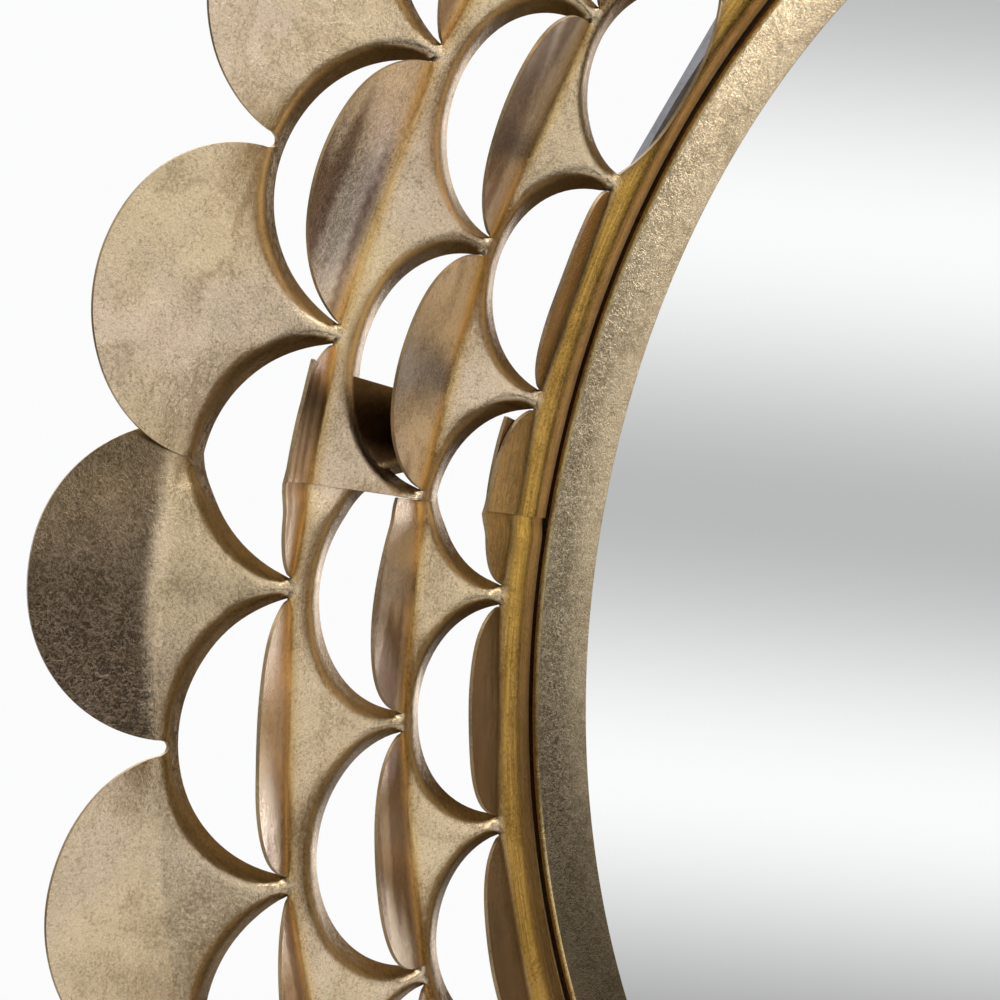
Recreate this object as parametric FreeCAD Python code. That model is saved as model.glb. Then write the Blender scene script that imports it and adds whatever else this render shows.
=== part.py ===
import FreeCAD, Part
import math
import os
from FreeCAD import Vector

# Flower wall mirror of gold-leafed iron sheet, 0.9 m across. Unit: mm.
# The mirror's axis is Y, its front faces -Y, Z is up and X is to the right seen from the front.
# The origin is on that axis, on the back face of the backing board.
# Angles about the axis are counted from +X towards +Z. "Forward" is a distance in front of the ring's face.

# Glass, backing board and the ring that frames them
sight_radius = 266.0
ring_face_width = 15.6
ring_wall = 3.0
ring_lip = 1.2
pad_thickness = 0.3
pad_inset = 2.0
pad_width = 8.0
pad_length = 30.0
pads = 8
glass_thickness = 4.0
board_thickness = 6.0
glass_clearance = 1.0

# Flower: the sheet's section in steps outwards from the ring, and the circles of necks between the petals
sheet_thickness = 1.0
rim_gap = 3.9
rim_drop = 1.5
rim_knee_step = 6.0
rim_knee_forward = 4.6
rim_ridge_step = 7.0
rim_ridge_forward = 9.8
third_neck_step = 6.3
third_neck_forward = 10.6
second_neck_step = 33.7
first_neck_step = 43.2
crown_forward = 22.0
notch_step = 37.7

# Petals: each row's cut is an arc on a straight crease, and the flap inside the arc is turned forward
sectors = 5
petals_in_sector = 6
seam_overlap_deg = 1.81
tip_height = 39.7
first_cut_height = 32.5
second_cut_height = 33.6
third_cut_height = 27.8
flap_bend_deg = 41.0
neck_width = 5.3
notch_width = 4.6
notch_depth = 5.0
chords_in_cut = 7

# Lap joints between the sectors
first_petal_deg = 106.88
under_tab_deg = 2.9
lap_clearance = 0.4
seam_clearance = 0.3
joggle_width = 1.6

# Hoop behind the rim, and the tabs that keep the board in the ring
hoop_margin = 1.9
hoop_thickness = 3.0
hoop_clearance = 0.1
tabs = 6
tab_width = 14.0
tab_thickness = 1.2
tab_reach = 15.0

# Hanger bars, straps and the rings that turn in them
hanger_deg = 30.0
bar_margin = 1.4
bar_length = 90.0
bar_width = 38.0
bar_thickness = 3.0
bar_corner = 4.0
strap_length = 30.0
strap_width = 12.0
strap_thickness = 1.2
strap_drop = 6.0
wire_radius = 1.5
wire_clearance = 0.08
wire_strap_gap = 0.5
bow_radius = 11.0

# Wall bumpers
bumpers = 4
bumper_first_deg = 45.0
bumper_inset = 42.6
bumper_side = 20.0
bumper_height = 10.0

overrun = 5.0

# Sizes worked out from the values above
pitch_deg = (360.0 / sectors + seam_overlap_deg) / petals_in_sector
half_pitch_deg = pitch_deg / 2
ring_outer_radius = sight_radius + ring_face_width
ring_inner_radius = ring_outer_radius - ring_wall
glass_radius = ring_inner_radius - glass_clearance
glass_back = -board_thickness
glass_front = glass_back - glass_thickness
lip_back = glass_front - pad_thickness
ring_front = lip_back - ring_lip
rim_radius = ring_outer_radius + rim_gap
rim_knee_radius = rim_radius + rim_knee_step
rim_ridge_radius = rim_knee_radius + rim_ridge_step
third_neck_radius = rim_ridge_radius + third_neck_step
second_neck_radius = third_neck_radius + second_neck_step
first_neck_radius = second_neck_radius + first_neck_step
notch_radius = first_neck_radius + notch_step
hoop_inner_radius = ring_outer_radius + hoop_clearance
hoop_outer_radius = rim_radius + hoop_margin
tip_radius = notch_radius * math.cos(math.radians(half_pitch_deg)) + tip_height
crown_y = ring_front - crown_forward
axis = Vector(0, -1, 0)


def at(radius, angle_deg, y=0.0):
    """A point on a circle about the mirror's axis."""
    angle = math.radians(angle_deg)
    return Vector(radius * math.cos(angle), y, radius * math.sin(angle))


def turned(shape, angle_deg):
    """A copy of the shape, turned about the mirror's axis."""
    copy = shape.copy()
    copy.rotate(Vector(0, 0, 0), axis, angle_deg)
    return copy


def lines(points):
    """Straight edges from point to point, closed."""
    return [Part.LineSegment(a, b).toShape() for a, b in zip(points, points[1:] + points[:1])]


def face(edges):
    return Part.Face(Part.Wire(edges))


def ring_of(section, start_deg=0.0, sweep_deg=360.0):
    """A section of (radius, y) corners turned about the mirror's axis."""
    flat = face(lines([Vector(radius, y, 0) for radius, y in section]))
    return turned(flat.revolve(Vector(0, 0, 0), axis, sweep_deg), start_deg)


def rod(radius, length, base, direction=Vector(0, 1, 0)):
    return Part.makeCylinder(radius, length, base, direction)


def save(shape, name):
    if not shape.isValid():
        raise ValueError(name + " is not valid")
    shape.exportStep("parts/" + name + ".step")
    print(name, len(shape.Solids), "solids", round(shape.Volume))


# Ring, pads, glass and board
def mirror_ring():
    """An L-shaped iron ring: a flat face in front of the glass, and a wall round it."""
    return ring_of([
        (sight_radius, ring_front), (ring_outer_radius, ring_front), (ring_outer_radius, 0.0),
        (ring_inner_radius, 0.0), (ring_inner_radius, lip_back), (sight_radius, lip_back),
    ])


def glass_pads():
    """Foam strips between the ring's face and the glass."""
    corner = Vector(sight_radius + pad_inset, lip_back, -pad_length / 2)
    pad = Part.makeBox(pad_width, pad_thickness, pad_length, corner)
    return Part.makeCompound([turned(pad, k * 360.0 / pads) for k in range(pads)])


def mirror_glass():
    return rod(glass_radius, glass_thickness, Vector(0, glass_front, 0))


def backing_board():
    return rod(glass_radius, board_thickness, Vector(0, glass_back, 0))


# Flower sectors
def sheet_line(with_rim):
    """The middle of the sheet's thickness as (radius, y), from the mirror outwards."""
    rim = [
        (rim_radius, -hoop_thickness), (rim_radius, ring_front + rim_drop),
        (rim_knee_radius, ring_front - rim_knee_forward),
    ]
    crown = [
        (rim_ridge_radius, ring_front - rim_ridge_forward), (third_neck_radius, ring_front - third_neck_forward),
        (first_neck_radius, crown_y), (tip_radius + overrun, crown_y),
    ]
    return rim + crown if with_rim else crown


def beside(line, distance):
    """The line moved sideways by a distance, its corners mitred."""
    moved = []
    for i, (r, y) in enumerate(line):
        normals = []
        for a, b in ((i - 1, i), (i, i + 1)):
            if a >= 0 and b < len(line):
                dr, dy = line[b][0] - line[a][0], line[b][1] - line[a][1]
                length = math.hypot(dr, dy)
                normals.append((-dy / length, dr / length))
        nr = sum(n[0] for n in normals) / len(normals)
        ny = sum(n[1] for n in normals) / len(normals)
        stretch = distance / (nr * nr + ny * ny)
        moved.append((r + nr * stretch, y + ny * stretch))
    return moved


def sheet_section(with_rim, front, back):
    """The sheet's section between two distances behind its middle line."""
    line = sheet_line(with_rim)
    return beside(line, front) + beside(line, back)[::-1]


def flats_of(section, angles):
    """A section of (radius, y) corners carried round the axis in flats, folded at the angles between the ends."""
    rounds = [[at(radius, a, y) for radius, y in section] for a in angles]
    faces = [face(lines(rounds[0])), face(lines(rounds[-1]))]
    for low, high in zip(rounds, rounds[1:]):
        for i in range(len(section)):
            faces.append(face(lines([low[i - 1], low[i], high[i], high[i - 1]])))
    return Part.Solid(Part.Shell(faces))


def arc_points(chord_x, half, height):
    """Points along an arc that stands on a chord, from one end to the other."""
    radius = (half * half + height * height) / (2 * height)
    middle = chord_x + height - radius
    reach = math.atan2(half, chord_x - middle)
    angles = [reach * (2.0 * i / chords_in_cut - 1) for i in range(chords_in_cut + 1)]
    return [Vector(middle + radius * math.cos(a), 0, radius * math.sin(a)) for a in angles]


def cell_outline(angle_deg):
    """One outer petal and the sheet inside it, as wide as a pitch."""
    chord_x = notch_radius * math.cos(math.radians(half_pitch_deg))
    half = notch_radius * math.sin(math.radians(half_pitch_deg)) - notch_width / 2
    inner = rim_radius / 2
    floor = notch_radius - notch_depth
    low_floor, high_floor = at(floor, -half_pitch_deg), at(floor, half_pitch_deg)
    steps = [Vector(high_floor.x, 0, half), high_floor, at(inner, half_pitch_deg),
             at(inner, -half_pitch_deg), low_floor, Vector(low_floor.x, 0, -half)]
    return turned(face(lines(arc_points(chord_x, half, tip_height) + steps)), angle_deg)


def cut_face(neck_circle, height, root=0.0):
    """The flat figure between a crease and its arc, on +X, with a straight root inside the crease."""
    half = neck_circle * math.sin(math.radians(half_pitch_deg)) - neck_width / 2
    x = neck_circle * math.cos(math.radians(half_pitch_deg))
    inside = [Vector(x - root, 0, half), Vector(x - root, 0, -half)] if root else []
    return face(lines(arc_points(x, half, height) + inside))


def through(flat):
    """A flat figure made a cutter through the whole depth of the flower."""
    front = crown_y - first_cut_height - overrun
    cutter = flat.copy()
    cutter.translate(Vector(0, front, 0))
    return cutter.extrude(Vector(0, overrun - front, 0))


def sheet_y(radius):
    """Where the middle of the sheet is at a radius."""
    line = sheet_line(False)
    for (r0, y0), (r1, y1) in zip(line, line[1:]):
        if r0 <= radius <= r1:
            return y0 + (y1 - y0) * (radius - r0) / (r1 - r0)
    raise ValueError("no sheet at this radius")


def flap(neck_circle, height):
    """A cut's inner side turned forward about its crease, on +X."""
    x = neck_circle * math.cos(math.radians(half_pitch_deg))
    y = sheet_y(neck_circle)
    plate = cut_face(neck_circle, height, sheet_thickness / 2)
    plate.translate(Vector(0, y - sheet_thickness / 2, 0))
    plate = plate.extrude(Vector(0, sheet_thickness, 0))
    plate.rotate(Vector(x, y, 0), Vector(0, 0, 1), -flap_bend_deg)
    return plate


def wedge(from_deg, to_deg):
    """All that lies between two angles, seen from the front."""
    reach = tip_radius * 2
    corners = [Vector(0, 0, 0), at(reach, from_deg), at(reach, (from_deg + to_deg) / 2), at(reach, to_deg)]
    return through(face(lines(corners)))


def flower_sector(number, bare_cuts):
    """One pressed sheet: six petals in each of four rows, with half petals at its ends."""
    folds = [(k + 0.5) * pitch_deg for k in range(petals_in_sector)]
    end = folds[-1]
    seam = end - 360.0 / sectors
    start = seam + math.degrees(seam_clearance / rim_radius)
    lap = sheet_thickness + lap_clearance
    joggle_deg = math.degrees(joggle_width / first_neck_radius)
    t = sheet_thickness / 2
    tab_start = seam - seam_overlap_deg - under_tab_deg
    sheet = flats_of(sheet_section(True, -t, t), [start] + folds)
    under = flats_of(sheet_section(False, lap - t, lap + t), [seam - pitch_deg, seam, start + joggle_deg])
    step = flats_of(sheet_section(False, -t, lap + t), [start, start + joggle_deg])
    blank = sheet.multiFuse([under, step])

    # Outer outline: a cell for each petal, and the plain tab that goes under the next sector
    cells = [cell_outline(k * pitch_deg) for k in range(petals_in_sector)]
    tab = face(lines([
        at(rim_radius / 2, tab_start), at(first_neck_radius, tab_start), at(first_neck_radius, start),
        at(rim_radius / 2, start)
    ]))
    outline = [through(c) for c in cells] + [through(tab)]
    blank = blank.common(outline[0].multiFuse(outline[1:]))

    # Cuts: the first and third rows are half a pitch from the necks they lie between
    rows = [
        (first_neck_radius, first_cut_height, True),
        (second_neck_radius, second_cut_height, False),
        (third_neck_radius, third_cut_height, True),
    ]
    cutters, flaps = [], []
    span = wedge(start, end)
    for circle, height, halfway in rows:
        hole = through(cut_face(circle, height))
        plate = flap(circle, height)
        steps = range(-1, petals_in_sector) if halfway else range(petals_in_sector)
        for k in steps:
            angle = (k + 0.5 if halfway else k) * pitch_deg
            cutters.append(turned(hole, angle))
            if circle == third_neck_radius and k in bare_cuts:
                continue
            piece = turned(plate, angle)
            at_end = k in (-1, 0, petals_in_sector - 1)
            flaps.append(piece.common(span) if at_end else piece)
    solid = blank.cut(Part.makeCompound(cutters)).multiFuse(flaps).removeSplitter()
    return turned(solid, first_petal_deg + (number - 1) * 360.0 / sectors)


# Hoop and tabs
def support_hoop():
    """A flat hoop welded round the ring's back edge, which the rim of the flower stands on."""
    return ring_of([
        (hoop_inner_radius, -hoop_thickness), (hoop_outer_radius, -hoop_thickness),
        (hoop_outer_radius, 0.0), (hoop_inner_radius, 0.0),
    ])


def board_tabs():
    """Flat tabs welded to the hoop's back, which reach over the edge of the board."""
    inner = glass_radius - tab_reach
    tab = Part.makeBox(hoop_outer_radius - inner, tab_thickness, tab_width, Vector(inner, 0, -tab_width / 2))
    return Part.makeCompound([turned(tab, k * 360.0 / tabs) for k in range(tabs)])


# Hangers: the left one is drawn, and the right one is its mirror image
def hanger_angle(side):
    return hanger_deg if side > 0 else 180.0 - hanger_deg


bar_middle_radius = hoop_outer_radius - bar_margin - bar_width / 2
eye_inner_radius = wire_radius + wire_clearance
eye_outer_radius = eye_inner_radius + strap_thickness
pivot_y = bar_thickness + strap_thickness + wire_strap_gap + wire_radius


def pivot(side):
    """The middle of the hanging ring's axle. The strap below it sits a little low on the bar."""
    middle = at(bar_middle_radius, hanger_angle(side))
    return Vector(middle.x, pivot_y, middle.z + strap_length / 2 - strap_drop)


def hanger_bar(side):
    """A straight bar welded across the backs of the ring and the hoop."""
    corner = Vector(bar_middle_radius - bar_width / 2, 0, -bar_length / 2)
    bar = Part.makeBox(bar_width, bar_thickness, bar_length, corner)
    upright = [e for e in bar.Edges if e.BoundBox.YLength > e.BoundBox.XLength + e.BoundBox.ZLength]
    return turned(bar.makeChamfer(bar_corner, upright), hanger_angle(side))


def hanger_strap(side):
    """A plate with an eye rolled at its top, which the ring's axle turns in."""
    top = pivot(side)
    low_x = top.x - strap_width / 2
    foot = Vector(low_x, bar_thickness, top.z - strap_length)
    plate = Part.makeBox(strap_width, strap_thickness, strap_length, foot)
    root = Vector(low_x, bar_thickness, top.z - eye_outer_radius)
    neck = Part.makeBox(strap_width, pivot_y - bar_thickness, strap_thickness, root)
    eye = rod(eye_outer_radius, strap_width, Vector(low_x, top.y, top.z), Vector(1, 0, 0))
    bore = rod(eye_inner_radius, strap_width, Vector(low_x, top.y, top.z), Vector(1, 0, 0))
    return plate.multiFuse([neck, eye]).cut(bore).removeSplitter()


def hanging_ring(side):
    """A D that hangs down from its round axle."""
    c = pivot(side)
    outside = arc_points(0, bow_radius + wire_radius, bow_radius + wire_radius)
    inside = arc_points(0, bow_radius - wire_radius, bow_radius - wire_radius)
    bow = face(lines([Vector(c.x + p.z, c.y - wire_radius, c.z - p.x) for p in outside + inside[::-1]]))
    bow = bow.extrude(Vector(0, 2 * wire_radius, 0))
    reach = bow_radius + wire_radius
    axle = rod(wire_radius, 2 * reach, Vector(c.x - reach, c.y, c.z), Vector(1, 0, 0))
    return bow.fuse(axle).removeSplitter()


# Bumpers that keep the mirror off the wall
def wall_bumpers():
    """Rubber blocks on the back of the board."""
    corner = Vector(glass_radius - bumper_inset - bumper_side / 2, 0, -bumper_side / 2)
    block = Part.makeBox(bumper_side, bumper_height, bumper_side, corner)
    return Part.makeCompound([turned(block, bumper_first_deg + k * 360.0 / bumpers) for k in range(bumpers)])


os.makedirs("parts", exist_ok=True)
save(mirror_ring(), "mirror_ring")
save(glass_pads(), "glass_pads")
save(mirror_glass(), "mirror_glass")
save(backing_board(), "backing_board")
save(support_hoop(), "support_hoop")
save(board_tabs(), "board_tabs")
save(wall_bumpers(), "wall_bumpers")
for side_name, side in (("left", -1), ("right", 1)):
    save(hanger_bar(side), "hanger_bar_" + side_name)
    save(hanger_strap(side), "hanger_strap_" + side_name)
    save(hanging_ring(side), "hanging_ring_" + side_name)

# The innermost flap is left off where a hanger bar lies behind it
bare = {1: (3,), 4: (petals_in_sector - 1,), 5: (-1,)}
for number in range(1, sectors + 1):
    save(flower_sector(number, bare.get(number, ())), "flower_sector_" + str(number))
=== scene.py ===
import bpy
import bmesh
import math
import numpy as np
import random
from mathutils import Matrix, Vector, noise
from mathutils.geometry import delaunay_2d_cdt


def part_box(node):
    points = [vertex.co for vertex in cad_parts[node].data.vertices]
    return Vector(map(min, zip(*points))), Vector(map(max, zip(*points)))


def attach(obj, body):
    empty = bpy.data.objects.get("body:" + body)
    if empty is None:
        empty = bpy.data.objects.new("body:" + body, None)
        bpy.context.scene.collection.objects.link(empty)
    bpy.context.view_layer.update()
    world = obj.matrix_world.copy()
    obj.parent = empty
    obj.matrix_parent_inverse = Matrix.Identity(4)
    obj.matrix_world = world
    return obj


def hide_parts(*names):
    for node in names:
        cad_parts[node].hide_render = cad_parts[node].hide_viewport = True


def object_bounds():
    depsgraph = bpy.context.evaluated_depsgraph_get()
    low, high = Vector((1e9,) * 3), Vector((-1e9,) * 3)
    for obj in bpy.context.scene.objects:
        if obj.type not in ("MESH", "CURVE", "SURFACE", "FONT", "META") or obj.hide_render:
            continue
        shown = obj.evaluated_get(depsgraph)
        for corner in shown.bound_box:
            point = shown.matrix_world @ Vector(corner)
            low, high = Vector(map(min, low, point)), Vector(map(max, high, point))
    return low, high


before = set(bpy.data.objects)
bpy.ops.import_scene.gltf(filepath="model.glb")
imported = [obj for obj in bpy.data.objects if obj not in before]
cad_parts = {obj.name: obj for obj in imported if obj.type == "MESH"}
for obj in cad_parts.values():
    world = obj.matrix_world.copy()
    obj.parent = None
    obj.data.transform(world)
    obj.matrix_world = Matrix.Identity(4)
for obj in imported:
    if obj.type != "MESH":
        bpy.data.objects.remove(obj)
cad_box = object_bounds()
mm = 0.001

# Camera and studio. The camera stands left of the mirror and looks at its left part through a long lens.
# A pale floor catches the shadow, and the sky is a soft white studio with a dim side and a ribbed light.
ring_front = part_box("mirror_ring")[0].y
camera_place = Vector((-1.08541, ring_front - 1.16903, 0.12784))
camera_right = Vector((0.83043, -0.55053, 0.08548))
camera_up = Vector((-0.03334, 0.10405, 0.99401))
sensor_mm = 36.0
focal_px = 5003.0
picture_px = 1000.0


def shown(name, data):
    """A new object with its data, linked into the scene."""
    made = bpy.data.objects.new(name, data)
    bpy.context.collection.objects.link(made)
    return made


camera_data = bpy.data.cameras.new("camera")
camera_data.sensor_width = sensor_mm
camera_data.lens = focal_px / picture_px * sensor_mm
camera_data.clip_start = 0.05
camera_data.clip_end = 50.0
camera = shown("camera", camera_data)
camera_back = camera_right.cross(camera_up)
turn = Matrix((camera_right, camera_up, camera_back)).transposed().to_4x4()
camera.matrix_world = Matrix.Translation(camera_place) @ turn
bpy.context.scene.camera = camera
bpy.context.scene.view_settings.view_transform = "Standard"


def put(tree, socket, value):
    """Gives a socket a plain value, or links another node's output to it."""
    if isinstance(value, bpy.types.NodeSocket):
        tree.links.new(value, socket)
    else:
        socket.default_value = value


def add(tree, kind, inputs=(), **settings):
    """A new node with its settings, and with values or links for its named or numbered inputs."""
    node = tree.nodes.new(kind)
    for name, value in settings.items():
        setattr(node, name, value)
    for name, value in dict(inputs).items():
        put(tree, node.inputs[name], value)
    return node


def sum_up(tree, operation, *values):
    """A math node between sockets or numbers."""
    return add(tree, "ShaderNodeMath", enumerate(values), operation=operation).outputs[0]


def times(tree, first, second):
    """The product of two sockets or numbers."""
    return sum_up(tree, "MULTIPLY", first, second)


def step_between(tree, value, low, high, from_share=0.0, to_share=1.0):
    """A value turned smoothly from one share to another between two limits."""
    limits = {"Value": value, "From Min": low, "From Max": high, "To Min": from_share, "To Max": to_share}
    return add(tree, "ShaderNodeMapRange", limits, interpolation_type="SMOOTHSTEP").outputs["Result"]


def mixed(tree, share, first, second, blend="MIX"):
    """A colour between two colours, each a socket or a plain colour."""
    node = add(tree, "ShaderNodeMix", data_type="RGBA", blend_type=blend)
    sockets = {socket.identifier: socket for socket in node.inputs}
    for name, value in (("Factor_Float", share), ("A_Color", first), ("B_Color", second)):
        put(tree, sockets[name], (*value, 1.0) if isinstance(value, tuple) else value)
    return [socket for socket in node.outputs if socket.type == "RGBA"][0]


def blended(tree, share, first, second):
    """Two shaders mixed by a share."""
    return add(tree, "ShaderNodeMixShader", enumerate((share, first, second))).outputs[0]


def axes_of(tree, coordinate="Object"):
    """The separate X, Y and Z of a texture coordinate."""
    place = add(tree, "ShaderNodeTexCoord").outputs[coordinate]
    return add(tree, "ShaderNodeSeparateXYZ", {0: place}).outputs


def from_axis(tree, first, second):
    """The distance from an axis, given the two coordinates across it."""
    squares = [times(tree, value, value) for value in (first, second)]
    return sum_up(tree, "SQRT", sum_up(tree, "ADD", *squares))


world = bpy.data.worlds.new("studio")
bpy.context.scene.world = world
world.use_nodes = True
sky = world.node_tree
sky.nodes.clear()
heading = axes_of(sky, "Generated")
upwards = heading["Z"]
swing = sum_up(sky, "ARCTAN2", heading["X"], times(sky, heading["Y"], -1.0))
swing = times(sky, swing, 180.0 / math.pi)
slanted = sum_up(sky, "ADD", swing, times(sky, upwards, 30.0))

# Each light's level turns from one share to another between two bearings in degrees, or between two heights
key_side = step_between(sky, slanted, 9.0, 16.0, 0.05, 1.0)
key_end = step_between(sky, swing, 66.0, 88.0, 1.0, 0.10)
front_side = step_between(sky, swing, -12.0, 4.0, 0.55, 0.0)
fill_level = step_between(sky, upwards, -0.15, 0.35, 0.30, 1.5)
fill_side = times(sky, step_between(sky, swing, -74.0, -50.0, 0.8, 0.0), fill_level)
wall_side = step_between(sky, swing, 106.0, 124.0, 0.0, 3.5)
overhead = step_between(sky, upwards, 0.35, 0.8, 0.0, 0.95)
low_dim = step_between(sky, upwards, -0.26, -0.12, 0.12, 1.0)
rib_period = 0.1131
rib_middle = -0.0085
rib_depth = 0.25
rib_level = 0.76
rib_turns = times(sky, sum_up(sky, "SUBTRACT", upwards, rib_middle), 2 * math.pi / rib_period)
ribs = sum_up(sky, "MULTIPLY_ADD", sum_up(sky, "COSINE", rib_turns), rib_depth, rib_level)
level = times(sky, key_side, key_end)
for light in (fill_side, front_side, wall_side, overhead):
    level = sum_up(sky, "MAXIMUM", level, light)
for share in (ribs, low_dim):
    level = times(sky, level, share)


def even_sky(colour, strength):
    """A sky of one colour."""
    return add(sky, "ShaderNodeBackground", {"Color": (*colour, 1.0), "Strength": strength}).outputs[0]


rays = add(sky, "ShaderNodeLightPath").outputs
dim_sky = even_sky((0.95, 0.96, 1.0), 0.55)
lit_sky = blended(sky, rays["Is Glossy Ray"], dim_sky, even_sky((1.0, 1.0, 1.0), level))
whole_sky = blended(sky, rays["Is Camera Ray"], lit_sky, even_sky((0.97, 0.97, 0.975), 1.0))
add(sky, "ShaderNodeOutputWorld", {"Surface": whole_sky})

lamp_data = bpy.data.lights.new("softbox", "AREA")
lamp_data.shape = "RECTANGLE"
lamp_data.size = 1.6
lamp_data.size_y = 1.2
lamp_data.energy = 26.0
lamp = shown("softbox", lamp_data)
lamp.location = (1.1, -2.2, 1.9)
lamp.rotation_euler = (-lamp.location).to_track_quat("-Z", "Y").to_euler()


def sketch_of(*meshes):
    """An editable copy of one or more meshes."""
    sketch = bmesh.new()
    for mesh in meshes:
        sketch.from_mesh(mesh)
    return sketch


def written(sketch, mesh):
    """A mesh that an edited sketch has been written into."""
    sketch.to_mesh(mesh)
    sketch.free()
    return mesh


floor_drop = 0.20
floor_radius = 1.5
floor_sides = 96
sketch = bmesh.new()
bmesh.ops.create_circle(sketch, cap_ends=True, segments=floor_sides, radius=floor_radius)
bmesh.ops.translate(sketch, verts=sketch.verts, vec=(0, 0, cad_box[0].z - floor_drop))
floor = shown("floor", written(sketch, bpy.data.meshes.new("floor")))
floor_paint = bpy.data.materials.new("pale_floor")
floor_paint.use_nodes = True
tree = floor_paint.node_tree
tree.nodes.clear()
matt = add(tree, "ShaderNodeBsdfDiffuse", {"Color": (0.86, 0.86, 0.87, 1.0)}).outputs[0]
glow = add(tree, "ShaderNodeEmission", {"Color": (1.0, 1.0, 1.0, 1.0), "Strength": 1.0}).outputs[0]
axes = axes_of(tree)
reach = from_axis(tree, axes["X"], axes["Y"])
fade = step_between(tree, reach, floor_radius * 0.5, floor_radius * 0.96, 0.25, 1.0)
add(tree, "ShaderNodeOutputMaterial", {"Surface": blended(tree, fade, matt, glow)})
floor.data.materials.append(floor_paint)

# Gold leaf. The iron is laid with thin leaf over a red-brown ground and rubbed back; painted shade and
# painted reflections are toned in by attributes.
# Its flecks, blotches and crinkles are one shader group, which each finish uses with values of its own.
leaf_values = {
    "Light": (0.66, 0.52, 0.34, 1.0), "Warm": (0.66, 0.53, 0.42, 1.0), "Shade": (0.50, 0.38, 0.23, 1.0),
    "Fleck": (0.16, 0.11, 0.06, 1.0), "Fleck Share": 0.5, "Fleck Size": 1.1 * mm, "Crinkle Size": 3.2 * mm,
    "Blotch Size": 16 * mm, "Blotch Share": 0.6, "Worm Share": 0.0, "Roughness Low": 0.27,
    "Roughness High": 0.48,
}
tint_size = 50 * mm
grain_size = 0.42 * mm
worm_size = 1.4 * mm
leaf = bpy.data.node_groups.new("laid_leaf", "ShaderNodeTree")
for name, value in leaf_values.items():
    kind = "NodeSocketColor" if isinstance(value, tuple) else "NodeSocketFloat"
    leaf.interface.new_socket(name, in_out="INPUT", socket_type=kind).default_value = value
for name, kind in (("Color", "Color"), ("Roughness", "Float"), ("Height", "Float")):
    leaf.interface.new_socket(name, in_out="OUTPUT", socket_type="NodeSocket" + kind)


def noise_at(tree, place, size, detail=4.0, roughness=0.6, distortion=0.0, offset=0.0):
    """Soft noise whose cells are about the given size, a socket or a number of metres."""
    shift = (offset, offset * 0.7, -offset)
    shifted = add(tree, "ShaderNodeVectorMath", {0: place, 1: shift}, operation="ADD")
    scale = 1.0 / size if isinstance(size, float) else sum_up(tree, "DIVIDE", 1.0, size)
    return add(tree, "ShaderNodeTexNoise", {
        "Vector": shifted.outputs[0], "Scale": scale, "Detail": detail, "Roughness": roughness,
        "Distortion": distortion,
    }).outputs["Fac"]


given = add(leaf, "NodeGroupInput").outputs
place = add(leaf, "ShaderNodeTexCoord").outputs["Object"]
flecks = noise_at(leaf, place, given["Fleck Size"], 3.0, 0.68, 0.4)
crinkle = noise_at(leaf, place, given["Crinkle Size"], 5.0, 0.66, 1.7, 5.3)
patches = noise_at(leaf, place, given["Blotch Size"], 5.0, 0.66, 0.9, 3.1)
tints = noise_at(leaf, place, tint_size, 2.0, 0.5, 0.0, 7.7)
grain = noise_at(leaf, place, grain_size, 2.0, 0.6, 0.0, 1.3)

# The colour: two tints of leaf, rubbed in blotches, with fine grain, crinkles, flecks and worm-like scratches
lifted = times(leaf, sum_up(leaf, "SUBTRACT", patches, 0.5), 0.5)
fleck_field = step_between(leaf, sum_up(leaf, "ADD", flecks, lifted), 0.50, 0.66)
fleck_mask = times(leaf, fleck_field, given["Fleck Share"])
blotch_mask = step_between(leaf, patches, 0.44, 0.66, 0.0, 0.7)
crinkle_mask = times(leaf, step_between(leaf, crinkle, 0.42, 0.62), 0.30)
colour = mixed(leaf, step_between(leaf, tints, 0.36, 0.64), given["Light"], given["Warm"])
for mask in (
    times(leaf, blotch_mask, given["Blotch Share"]),
    step_between(leaf, grain, 0.34, 0.68, 0.0, 0.34),
    crinkle_mask,
):
    colour = mixed(leaf, mask, colour, given["Shade"])
colour = mixed(leaf, fleck_mask, colour, given["Fleck"])
for offset, tone in ((9.1, given["Fleck"]), (4.4, given["Light"])):
    worms = noise_at(leaf, place, worm_size, 1.5, 0.5, 2.2, offset)
    from_line = sum_up(leaf, "ABSOLUTE", sum_up(leaf, "SUBTRACT", worms, 0.5))
    worm_line = step_between(leaf, from_line, 0.02, 0.06, 1.0, 0.0)
    colour = mixed(leaf, times(leaf, worm_line, given["Worm Share"]), colour, tone)

# The roughness and the height follow the same flecks, blotches and crinkles
dullness = sum_up(leaf, "MAXIMUM", fleck_mask, times(leaf, blotch_mask, 0.8))
dullness = sum_up(leaf, "MAXIMUM", dullness, times(leaf, crinkle, 0.6))
spread = sum_up(leaf, "SUBTRACT", given["Roughness High"], given["Roughness Low"])
fold = sum_up(leaf, "ABSOLUTE", sum_up(leaf, "SUBTRACT", crinkle, 0.5))
fold_height = times(leaf, step_between(leaf, fold, 0.0, 0.07, 1.0, 0.0), 0.05)
small_height = sum_up(leaf, "MULTIPLY_ADD", grain, 0.22, fold_height)
add(leaf, "NodeGroupOutput", {
    "Color": colour,
    "Roughness": sum_up(leaf, "MULTIPLY_ADD", spread, dullness, given["Roughness Low"]),
    "Height": sum_up(leaf, "MULTIPLY_ADD", crinkle, 0.9, small_height),
})

# Painted shade: the ring's face and the sheet's ridge grow darker towards the bottom, between these heights
bottom_shade_low = -115 * mm
bottom_shade_high = 50 * mm
bottom_shade_share = 0.84
bottom_shade_tone = (0.04, 0.03, 0.015)
streak_tone = (0.42, 0.36, 0.30)
streak_size = 0.8 * mm
streak_stretch = 0.012
relief_depth = 0.4 * mm


def blank_material(name):
    """A new material, its node tree and its shader's inputs."""
    material = bpy.data.materials.new(name)
    material.use_nodes = True
    return material, material.node_tree, material.node_tree.nodes["Principled BSDF"].inputs


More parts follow.
